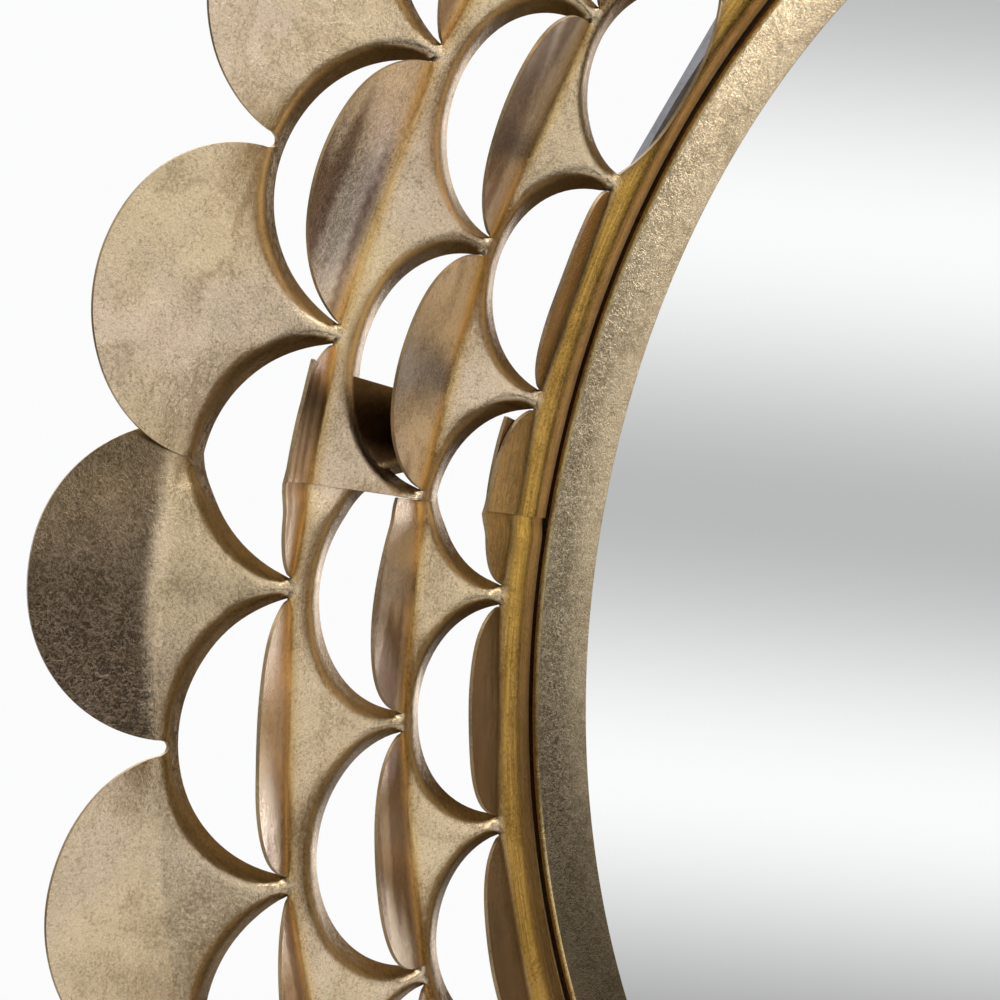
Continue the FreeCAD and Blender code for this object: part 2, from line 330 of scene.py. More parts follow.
def painted_on(tree, name):
    """A piece's own value at each of its points."""
    return add(tree, "ShaderNodeAttribute", attribute_name=name).outputs["Fac"]


def streaked(tree, colour):
    """Brushed streaks round the mirror's axis, where the painted gold reflection lies."""
    axes = axes_of(tree)
    turn = sum_up(tree, "ARCTAN2", axes["Z"], axes["X"])
    around = add(tree, "ShaderNodeCombineXYZ", {
        "X": from_axis(tree, axes["X"], axes["Z"]), "Y": axes["Y"],
        "Z": times(tree, turn, streak_stretch),
    })
    lines = noise_at(tree, around.outputs[0], streak_size, 3.0, 0.6)
    brushed = step_between(tree, lines, 0.35, 0.65, 0.0, 0.5)
    share = times(tree, brushed, painted_on(tree, "painted_gold_reflection"))
    return mixed(tree, share, colour, streak_tone, "MULTIPLY")


def leafed(name, bump=0.16, metallic=1.0, tones=(), dish=0.0, glance=(1.0, 1.0, 1.0), **values):
    """A gold-leafed material with its own colours and sizes in the shared group.

    It is toned by the piece's attributes, which carry painted shade and painted reflections. A dished face
    falls away by some degrees from the mirror's axis and is painted darker towards the bottom, as painted
    shade.
    """
    material, tree, shader = blank_material(name)
    group = add(tree, "ShaderNodeGroup", node_tree=leaf)
    for key, value in values.items():
        socket = group.inputs[key.replace("_", " ").title()]
        socket.default_value = (*value, 1.0) if isinstance(value, tuple) else value
    relief = add(tree, "ShaderNodeBump", {
        "Strength": bump, "Distance": relief_depth, "Height": group.outputs["Height"],
    })
    colour = group.outputs["Color"]
    for attribute, share, tone in tones:
        mask = times(tree, painted_on(tree, attribute), share)
        colour = mixed(tree, mask, colour, tone, "MULTIPLY")
    if tones:
        colour = streaked(tree, colour)
    # A dished face is also painted darker towards the bottom, as painted shade
    if dish:
        axes = axes_of(tree)
        bottom_shade = step_between(tree, axes["Z"], bottom_shade_low, bottom_shade_high, bottom_shade_share, 0.0)
        colour = mixed(tree, bottom_shade, colour, bottom_shade_tone, "MULTIPLY")
        radius = from_axis(tree, axes["X"], axes["Z"])
        fall = times(tree, radius, -math.tan(math.radians(dish)))
        bowl = add(tree, "ShaderNodeBump", {"Strength": 1.0, "Distance": 1.0, "Height": fall})
        put(tree, relief.inputs["Normal"], bowl.outputs[0])
    put(tree, shader["Base Color"], colour)
    put(tree, shader["Roughness"], group.outputs["Roughness"])
    put(tree, shader["Normal"], relief.outputs[0])
    shader["Metallic"].default_value = metallic
    shader["Specular Tint"].default_value = (*glance, 1.0)
    return material


# The tones of the pieces' attributes: painted gold reflection, painted shade, painted shade on the rolled
# brims, a painted cool sheen and painted dark reflection bands
gold_reflection_tone = ("painted_gold_reflection", 1.0, (0.96, 0.74, 0.27))
painted_shade_tone = ("painted_shade", 1.0, (0.24, 0.19, 0.15))
brim_shade_tone = ("brim_shade", 0.97, (0.19, 0.155, 0.10))
painted_sheen_tone = ("painted_sheen", 1.0, (1.0, 1.12, 1.46))
dark_band_tone = ("painted_dark_bands", 0.85, (0.34, 0.25, 0.23))
front_leaf = leafed(
    "front_leaf", bump=0.32, glance=(1.0, 0.91, 0.82),
    tones=(gold_reflection_tone, painted_shade_tone, brim_shade_tone, painted_sheen_tone, dark_band_tone), light=(1.0, 0.80, 0.51),
    warm=(1.0, 0.80, 0.60), shade=(0.66, 0.50, 0.30), fleck=(0.36, 0.26, 0.14), fleck_share=0.5,
    fleck_size=0.9 * mm, crinkle_size=2.0 * mm, roughness_low=0.13, roughness_high=0.32, worm_share=0.05)
sheared_edge = leafed(
    "sheared_edge", metallic=0.8, light=(0.40, 0.28, 0.14), warm=(0.30, 0.20, 0.10), fleck_size=0.7 * mm,
    roughness_low=0.34, roughness_high=0.55)
back_leaf = leafed(
    "back_leaf", light=(0.42, 0.33, 0.19), warm=(0.36, 0.27, 0.16), fleck_share=0.7, roughness_low=0.38,
    roughness_high=0.6)

# Flower sectors. Each is one pressed iron sheet with four rows of petals. A press punches three rows of arcs,
# turns the metal inside each forward on a soft crease and rolls the arc's outer edge back. A flat pattern of
# one petal's width is drawn, a node tree lays it out six times, and the press then forms it.
sectors = 5
petals = 6
lap_angle = math.radians(1.81)
pitch = (2 * math.pi / sectors + lap_angle) / petals
first_petal = math.radians(106.88)
sheet = 1.0 * mm
neck_width = 5.3 * mm
notch_width = 4.6 * mm
notch_floor = 414.4 * mm
neck_circles = {"first": 381.7 * mm, "second": 338.5 * mm, "third": 304.8 * mm}
cut_heights = {"first": 30.6 * mm, "second": 31.4 * mm, "third": 26.2 * mm}
flap_heights = {"first": 36.7 * mm, "second": 35.6 * mm, "third": 28.5 * mm}
flap_codes = {"first": 1, "second": 2, "third": 3}
kerf = 0.25 * mm
notch_circle = 419.4 * mm
tip_height = 39.7 * mm
rim_flat = 272.0 * mm
tab_angle = math.radians(2.9)
tab_rim = 295.5 * mm
seam_gap = 0.3 * mm
join_distance = 0.02 * mm
mesh_step = 2.3 * mm
line_gap = 0.55 * mm
edge_gap = 0.6 * mesh_step
spot_gap = 0.62 * mesh_step
touch = 0.01 * mm
slot_bend = 1.6 * mm
slot_shoulder = (1.2 * mm, 0.5 * mm)
slot_corner = (0.25 * mm, 1.3 * mm)
brim_rows = [0.9 * mm, 1.9 * mm, 3.0 * mm, 4.2 * mm, 5.5 * mm, 6.9 * mm, 8.4 * mm]
crease_rows = [0.9 * mm, 1.9 * mm, 3.1 * mm]


def arc_of(circle, height, shrink=0.0):
    """An arc on a chord between two necks: chord place, half chord, arc centre and arc radius, on +X."""
    chord = circle * math.cos(pitch / 2)
    half = circle * math.sin(pitch / 2) - neck_width / 2 - shrink
    height = height - shrink
    radius = (half * half + height * height) / (2 * height)
    return chord, half, chord + height - radius, radius


def turned(points, angle):
    """Flat (radial, across) points turned about the mirror's axis."""
    c, s = math.cos(angle), math.sin(angle)
    return [(x * c - z * s, x * s + z * c) for x, z in points]


def arc_to(centre, radius, reach, least=4):
    """Points from the arc's top down to an angle on the +Z side."""
    steps = max(least, round(reach * radius / mesh_step))
    turns = [reach * i / steps for i in range(steps + 1)]
    return [(centre + radius * math.cos(turn), radius * math.sin(turn)) for turn in turns]


def arc_points(centre, radius, chord, half):
    """Points from the arc's top down to its end on the +Z side."""
    return arc_to(centre, radius, math.atan2(half, chord - centre))


def straight(start, end):
    """Points along a straight line, without its ends."""
    steps = max(1, round(math.dist(start, end) / mesh_step))
    return [tuple(a + (b - a) * i / steps for a, b in zip(start, end)) for i in range(1, steps)]


def crease_points(chord, half):
    """Points along a crease from its middle to just inside its end, and then the end."""
    inner = half - kerf
    return [(chord, 0.0)] + straight((chord, 0.0), (chord, inner)) + [(chord, inner), (chord, half)]


def inside(point, outline):
    """Whether a flat point lies inside an outline."""
    x, z = point
    hit = False
    for (x0, z0), (x1, z1) in zip(outline, outline[1:] + outline[:1]):
        if (z0 > z) != (z1 > z) and x < (x1 - x0) * (z - z0) / (z1 - z0) + x0:
            hit = not hit
    return hit


def filled(outline, extra):
    """Points and triangles over an outline, with extra points and a hexagonal grid inside it."""
    edge = np.array(outline)
    low, high = edge.min(axis=0), edge.max(axis=0)
    row_step = mesh_step * math.sqrt(3) / 2
    candidates = list(extra)
    count = len(candidates)
    for j in range(int((high[1] - low[1]) / row_step) + 2):
        for i in range(int((high[0] - low[0]) / mesh_step) + 2):
            candidates.append((low[0] + (i + 0.5 * (j % 2)) * mesh_step, low[1] + j * row_step))
    kept = []
    spots = np.zeros((0, 2))
    starts, ends = edge, np.roll(edge, -1, axis=0)
    along = ends - starts
    for number, point in enumerate(candidates):
        p = np.array(point)
        share = np.clip(((p - starts) * along).sum(axis=1) / (along ** 2).sum(axis=1), 0, 1)
        nearest = np.hypot(*(starts + along * share[:, None] - p).T).min()
        if nearest < (line_gap if number < count else edge_gap) or not inside(point, outline):
            continue
        if number >= count and len(spots) and np.hypot(*(spots - p).T).min() < spot_gap:
            continue
        kept.append(point)
        if number < count:
            spots = np.vstack([spots, p])
    points = [Vector(p) for p in outline + kept]
    made = delaunay_2d_cdt(points, [], [list(range(len(outline)))], 1, 1e-7)
    return [tuple(p) for p in made[0]], [tuple(f) for f in made[2]]


def coded(code, hinge, flat, triangles):
    """A piece of the pattern with a code at each point: the flap's own, or 0 on its hinge and in the body."""
    hinged = [any(math.dist(point, h) < touch for h in hinge) for point in flat]
    return [0 if h else code for h in hinged], flat, triangles


def half_pattern():
    """The flat pattern from the middle of a petal to half a pitch beside it: body and flaps."""
    arcs = {row: arc_of(neck_circles[row], cut_heights[row]) for row in neck_circles}
    flaps = {row: arc_of(neck_circles[row], cut_heights[row], kerf) for row in neck_circles}
    aside = {"first": True, "second": False, "third": True}

    def placed(points, row):
        """Points of a row brought to the half pattern: beside it for the outer and inner rows."""
        return turned([(x, -z) for x, z in points], pitch / 2) if aside[row] else points

    cut, crease = {}, {}
    for row, (chord, half, centre, radius) in arcs.items():
        cut[row] = placed(arc_points(centre, radius, chord, half), row)
        crease[row] = placed(crease_points(chord, half), row)

    chord = notch_circle * math.cos(pitch / 2)
    half = notch_circle * math.sin(pitch / 2) - notch_width / 2
    petal_radius = (half * half + tip_height * tip_height) / (2 * tip_height)
    petal = arc_points(chord + tip_height - petal_radius, petal_radius, chord, half)
    floor_corner = (notch_floor * math.cos(pitch / 2), notch_floor * math.sin(pitch / 2))
    slot = [(chord - slot_bend, half)]
    slot += [(floor_corner[0] + out, half + across) for out, across in (slot_shoulder, slot_corner)]
    slot.append(floor_corner)
    rim_steps = round(rim_flat * pitch / 2 / mesh_step)
    rim = [turned([(rim_flat, 0.0)], pitch / 2 * i / rim_steps)[0] for i in range(rim_steps, -1, -1)]
    outline = [rim[-1]] + straight(rim[-1], crease["second"][0]) + crease["second"]
    outline += cut["second"][-2::-1] + straight(cut["second"][0], petal[0]) + petal + slot
    outline += straight(floor_corner, cut["first"][0]) + cut["first"] + crease["first"][-2::-1]
    outline += straight(crease["first"][0], cut["third"][0]) + cut["third"] + crease["third"][-2::-1]
    outline += straight(crease["third"][0], rim[0]) + rim[:-1]
    extra = []
    for row, (chord_x, half_z, centre, radius) in arcs.items():
        for out in brim_rows:
            extra += placed(arc_points(centre, radius + out, chord_x, half_z), row)
        for back in crease_rows:
            extra += placed(crease_points(chord_x - back, half_z)[:-1], row)
    for back in crease_rows:
        extra += crease_points(chord - back, half)[:-1] + crease_points(chord + back, half)[:-1]
    pieces = [coded(0, [], *filled(outline, extra))]
    for row, (chord_x, half_z, centre, radius) in flaps.items():
        round_edge = placed(arc_points(centre, radius, chord_x, half_z), row)
        hinge = placed(crease_points(chord_x, half_z + kerf)[:-1], row)
        ring = hinge + round_edge[-2::-1] + straight(round_edge[0], hinge[0])
        rows = []
        for out in crease_rows:
            rows += placed(crease_points(chord_x + out, half_z)[:-1], row)
        pieces.append(coded(flap_codes[row], hinge, *filled(ring, rows)))
    return pieces


def tab_pattern():
    """The plain tab that carries a sheet on under the one before it, with the first and third rows' cuts."""
    steep = math.tan(tab_angle)
    creases = {row: neck_circles[row] * math.cos(pitch / 2) for row in neck_circles}

    def to_edge(row, shrink=0.0):
        """Points along a row's arc from its top to the tab's edge."""
        centre, radius = arc_of(neck_circles[row], cut_heights[row], shrink)[2:]
        meets = tab_angle + math.asin(centre * math.sin(tab_angle) / radius)
        return [(x, -z) for x, z in arc_to(centre, radius, meets, 3)]

    def strip(x):
        """Points straight across the tab, from the sheet to the tab's edge."""
        far = (x, -x * steep)
        return [(x, 0.0)] + straight((x, 0.0), far) + [far]

    def brims(row):
        """Points along a row's brims."""
        chord, half, centre, radius = arc_of(neck_circles[row], cut_heights[row])
        points = []
        for out in brim_rows:
            points += [(x, -z) for x, z in arc_points(centre, radius + out, chord, half)]
        return points

    def between(low, high):
        """The outline between two lines across the tab, each from the sheet to the edge."""
        return low + straight(low[-1], high[-1]) + high[::-1] + straight(high[0], low[0])

    cut = {row: to_edge(row) for row in ("first", "third")}
    spine = straight((creases["third"], 0.0), (rim_flat, 0.0))
    rim_end = min(x for x, z in spine if x > tab_rim)
    inner_low = strip(rim_end)
    inner_high = strip(creases["third"])
    inner = inner_low + straight(inner_low[-1], inner_high[-1]) + inner_high[::-1]
    inner += [point for point in spine if point[0] > rim_end + touch]
    bands = [inner, between(cut["third"], strip(creases["first"]))]
    outer = cut["first"] + straight(cut["first"][-1], (notch_floor, -notch_floor * steep))
    outer += strip(notch_floor)[::-1] + straight((notch_floor, 0.0), cut["first"][0])
    bands.append(outer)
    rows = brims("first") + brims("third")
    for row in ("first", "third"):
        for back in crease_rows:
            rows += strip(creases[row] - back)
    pieces = [coded(0, [], *filled(band, rows)) for band in bands]
    for row in ("first", "third"):
        hinge = strip(creases[row])
        top = to_edge(row, kerf)
        lines = [point for out in crease_rows for point in strip(creases[row] + out)]
        pieces.append(coded(flap_codes[row], hinge, *filled(between(hinge, top), lines)))
    return [(codes, turned(flat, -pitch / 2), triangles) for codes, flat, triangles in pieces]


def cell_mesh(pieces, sides=(1, -1)):
    """A flat mesh of the pattern's pieces and their mirror images, with the codes as an attribute."""
    points, faces, codes = [], [], []
    for mirrored in sides:
        for piece_codes, flat, triangles in pieces:
            start = len(points)
            points += [(x, 0.0, z * mirrored) for x, z in flat]
            codes += piece_codes
            for triangle in triangles:
                (ax, az), (bx, bz), (cx, cz) = (flat[i] for i in triangle)
                upwards = (bx - ax) * (cz - az) - (bz - az) * (cx - ax) > 0
                order = triangle if upwards == (mirrored > 0) else triangle[::-1]
                faces.append([start + i for i in order])
    mesh = bpy.data.meshes.new("flat_cell")
    mesh.from_pydata(points, [], faces)
    mesh.attributes.new("flap", "FLOAT", "POINT").data.foreach_set("value", codes)
    return mesh


def layout_tree():
    """Lays a flat cell out along the points it is given, joins the cells and gives them their leaf."""
    tree = bpy.data.node_groups.new("lay_out", "GeometryNodeTree")
    inputs = (("Places", "Geometry"), ("Cell", "Object"), ("Join Distance", "Float"), ("Leaf", "Material"))
    for name, kind in inputs:
        tree.interface.new_socket(name, in_out="INPUT", socket_type="NodeSocket" + kind)
    tree.interface.new_socket("Sheet", in_out="OUTPUT", socket_type="NodeSocketGeometry")
    given = add(tree, "NodeGroupInput").outputs
    cell = add(tree, "GeometryNodeObjectInfo", {"Object": given["Cell"]}).outputs["Geometry"]
    turn = add(tree, "GeometryNodeInputNamedAttribute", {"Name": "turn"}, data_type="FLOAT_VECTOR")
    laid = {"Points": given["Places"], "Instance": cell, "Rotation": turn.outputs["Attribute"]}
    lay = add(tree, "GeometryNodeInstanceOnPoints", laid)
    real = add(tree, "GeometryNodeRealizeInstances", {"Geometry": lay.outputs["Instances"]})
    join = add(tree, "GeometryNodeMergeByDistance", {
        "Geometry": real.outputs["Geometry"], "Distance": given["Join Distance"],
    })
    joined = {"Geometry": join.outputs["Geometry"], "Material": given["Leaf"]}
    dress = add(tree, "GeometryNodeSetMaterial", joined)
    add(tree, "NodeGroupOutput", {"Sheet": dress.outputs["Geometry"]})
    return tree


lay_out = layout_tree()


def evaluated(thing):
    """The plain mesh that an object's modifiers make."""
    return bpy.data.meshes.new_from_object(thing.evaluated_get(bpy.context.evaluated_depsgraph_get()))


def laid_out(cell, spots, join, material):
    """The plain mesh of a small mesh's copies at (place, turn about Y), joined where they meet."""
    places = bpy.data.meshes.new("places")
    places.from_pydata([tuple(place) for place, angle in spots], [], [])
    turns = [value for place, angle in spots for value in (0.0, angle, 0.0)]
    places.attributes.new("turn", "FLOAT_VECTOR", "POINT").data.foreach_set("vector", turns)
    part = shown("cell", cell)
    maker = shown("maker", places)
    modifier = maker.modifiers.new("grow", "NODES")
    modifier.node_group = lay_out
    names = {item.name: item.identifier for item in lay_out.interface.items_tree if item.in_out == "INPUT"}
    for name, value in (("Cell", part), ("Join Distance", join), ("Leaf", material)):
        modifier[names[name]] = value
    mesh = evaluated(maker)
    for helper in (maker, part):
        bpy.data.objects.remove(helper)
    return mesh


petal_turns = [(Vector((0.0, 0.0, 0.0)), -k * pitch) for k in range(petals)]
flat_sheet = laid_out(cell_mesh(half_pattern()), petal_turns, join_distance, front_leaf)

# The tab is joined on, and the second row's first flap is cut off where the sheet before it ends
sketch = sketch_of(flat_sheet, cell_mesh(tab_pattern(), (1,)))
bmesh.ops.remove_doubles(sketch, verts=sketch.verts, dist=join_distance)
layer = sketch.verts.layers.float["flap"]
cut_angle = -pitch / 2 + lap_angle + seam_gap / neck_circles["second"]
cut_normal = Vector((-math.sin(cut_angle), 0.0, math.cos(cut_angle)))
second_flap = flap_codes["second"]
crease_x = neck_circles["second"] * math.cos(pitch / 2)
cell_end = math.tan(pitch / 2)


def second_faces():
    """The faces of the second row's flaps."""
    return [face for face in sketch.faces if any(round(vert[layer]) == second_flap for vert in face.verts)]


scope = set()
for face in second_faces():
    if all(abs(vert.co.z) < vert.co.x * cell_end for vert in face.verts):
        scope.update([face], face.edges, face.verts)
split = bmesh.ops.bisect_plane(sketch, geom=list(scope), plane_co=(0, 0, 0), plane_no=cut_normal, dist=1e-6)
for vert in [cut for cut in split["geom_cut"] if isinstance(cut, bmesh.types.BMVert)]:
    vert[layer] = second_flap if vert.co.x > crease_x + touch else 0
beyond = []
for face in second_faces():
    centre = face.calc_center_median()
    if centre.dot(cut_normal) < 0 and centre.z > -centre.x * cell_end:
        beyond.append(face)
bmesh.ops.delete(sketch, geom=beyond, context="FACES")
bmesh.ops.triangulate(sketch, faces=[face for face in sketch.faces if len(face.verts) > 3])
for face in sketch.faces:
    face.material_index = 0
written(sketch, flat_sheet)
flat_sheet.materials.clear()
flat_sheet.materials.append(front_leaf)

# The press: a section of the sheet from the wall's edge to the outer row, then brims, creases and flaps
hoop_front = (ring_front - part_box("support_hoop")[0].y) / mm
rim_points = [(285.3, hoop_front), (285.4, -6.0), (285.7, -1.5), (287.6, 1.6), (290.6, 4.4), (293.6, 7.2),
              (296.6, 9.3), (300.2, 10.3), (304.8, 10.7)]
crown_points = [(338.5, 14.5), (381.7, 22.7), (400.0, 21.5), (419.4, 19.9)]
outer_lean = 2.8
outer_bulge = 7.0 * mm
ridge_top = 305.0 * mm
rim_shade = 290.0 * mm
ridge_fade = 3.0 * mm
rim_fade = 4.0 * mm
brim_width = 8.0 * mm
brim_slope = math.tan(math.radians(40))
brim_ease = 0.45
cusp_share = 0.10
valley_width = 2.6 * mm
flap_fade = 2.0 * mm
# Where the painted cool sheen, a painted reflection, starts on a flap and how far it fades in
painted_sheen_start = 1.5 * mm
painted_sheen_fade = 5.0 * mm
# Rates, shift and width of the painted dark reflection bands on the flaps
band_rates = (95, 16)
crease_width = 4.6 * mm
lap_depth = sheet + 0.25 * mm
under_share = 0.86
under_fade = math.radians(0.4)
joggle = math.radians(1.3)
petal_joggle = math.radians(4.5)
joggle_run = 20 * mm
wave_rate = 28
wave_height = 0.9 * mm
ripple_rate = 75
ripple_height = 0.18 * mm
calm_circle = 300 * mm
calm_run = 12 * mm
usual_lean = 42.0
lean_spread = 3.5
curl_range = (4, 14)
twist_spread = 2.5
plain_flap = (40.0, 8.0, 0.0)
flap_seed = 100
tip_spread = 2.5
tip_curl = 0.02
tip_crease = 1.2
tip_blend = 0.4
edge_ease = 0.5 * mm
arc_ease = 0.05 * mm
ridge_shade_shares = (0.15, 0.4)
slope_probe = 0.1 * mm
root_probe = 0.2 * mm
seam_touch = 1e-4
cusp_power = 0.42
brim_shade_gain = 2.4
band_shift = 0.02
band_width = 0.20
# The share of painted gold reflection in the crease valleys
valley_reflection = 0.65
# Shares of painted shade in the third row's valleys, on the tab under the sheet before it, and painted shadow
# at the rim by the ring's gap
valley_shade = 0.7
tab_shade = 0.9
rim_shadow = 0.95
leans_by_hand = {
    (1, "first", 4.5): 24.0, (1, "first", 5.5): 44.0, (2, "first", -0.5): 46.0, (2, "first", 0.5): 42.0,
    (2, "first", 1.5): 44.0, (1, "second", 4.0): 38.0, (1, "second", 5.0): 31.0, (2, "second", 0.0): 38.5,
    (2, "second", 1.0): 39.0, (1, "third", 4.5): 43.0, (1, "third", 5.5): 34.0, (2, "third", -0.5): 34.0,
    (2, "third", 0.5): 35.0, (2, "third", 1.5): 37.0,
}
tips_by_hand = {(1, 4): 2.9, (1, 5): 2.8, (2, 0): -12.5, (2, 1): 6.4}
# Painted shade on a listed outer petal tip and on listed third-row flaps
tip_shades = {(2, 0): 0.68}
third_flap_shades = {(1, 4.5): 0.2, (1, 5.5): 0.25, (2, -0.5): 0.3, (2, 0.5): 0.8, (2, 1.5): 0.85}
bare_cuts = {(1, 3.5), (4, 5.5), (5, -0.5)}
bare_bite = 8.0 * mm
bare_reach = 11.0 * mm
rim_line = np.array(rim_points) * mm
crown_line = np.array(crown_points) * mm
rim_lengths = np.concatenate([[0.0], np.cumsum(np.hypot(*np.diff(rim_line, axis=0).T))])
third_circle = neck_circles["third"]
flat_radii = np.concatenate([third_circle - rim_lengths[-1] + rim_lengths, crown_line[:, 0]])
true_radii, forwards = np.concatenate([rim_line, crown_line]).T


def smooth_curve(xs, ys):
    """A curve through points that keeps their rise and fall, as a function."""
    slopes = np.diff(ys) / np.diff(xs)
    tangents = np.concatenate([[slopes[0]], (slopes[1:] + slopes[:-1]) / 2, [slopes[-1]]])

    def value(x):
        i = np.clip(np.searchsorted(xs, x) - 1, 0, len(xs) - 2)
        width = xs[i + 1] - xs[i]
        t = np.clip((x - xs[i]) / width, 0.0, 1.0)
        a = (1 + 2 * t) * (1 - t) ** 2 * ys[i] + t * (1 - t) ** 2 * width * tangents[i]
        b = t * t * (3 - 2 * t) * ys[i + 1] - t * t * (1 - t) * width * tangents[i + 1]
        return a + b

    return value


true_radius = smooth_curve(flat_radii, true_radii)
forward_at = smooth_curve(flat_radii, forwards)


def smooth(t):
    """A share that starts and ends softly."""
    t = np.clip(t, 0.0, 1.0)
    return t * t * (3 - 2 * t)


def bend_path(t, width, base, lean, curl, length):
    """Places along a strip bent on a soft crease: distance out and forward, and the strip's direction."""
    start = t + width / 2
    turn = (lean - base) / width
    turn = np.where(np.abs(turn) < 1e-3, 1e-3, turn)
    within = np.clip(start, 0.0, width)
    out = -width / 2 * np.cos(base) + (np.sin(base + turn * within) - np.sin(base)) / turn
    forward = -width / 2 * np.sin(base) + (np.cos(base) - np.cos(base + turn * within)) / turn
    beyond = np.maximum(start - width, 0.0)
    rate = np.where(np.abs(curl / length) < 1e-3, 1e-3, curl / length)
    out += (np.sin(lean + rate * beyond) - np.sin(lean)) / rate
    forward += (np.cos(lean) - np.cos(lean + rate * beyond)) / rate
    return out, forward, base + turn * within + rate * beyond


def flap_facts(number):
    """Each flap's lean, further curl and twist in a sector, and the dice that drew them."""
    dice = random.Random(flap_seed + number)
    facts = {}
    for row in neck_circles:
        halfway = 0.0 if row == "second" else 0.5
        for k in range(-1, petals + 1):
            lean = usual_lean + dice.uniform(-lean_spread, lean_spread)
            lean = leans_by_hand.get((number, row, k + halfway), lean)
            curl = dice.uniform(*curl_range)
            facts[row, k + halfway] = (lean, curl, dice.uniform(-twist_spread, twist_spread))
    return facts, dice


def noise_on(x, y, seed):
    """Soft noise at scaled places, between -1 and 1."""
    return np.array([noise.noise(Vector(place)) for place in zip(x, y, np.broadcast_to(seed, x.shape))])


def sheet_slope(rho):
    """How steeply the plain sheet rises forward at a distance from the axis, as an angle."""
    return np.arctan((forward_at(rho + slope_probe) - forward_at(rho - slope_probe)) / (2 * slope_probe))


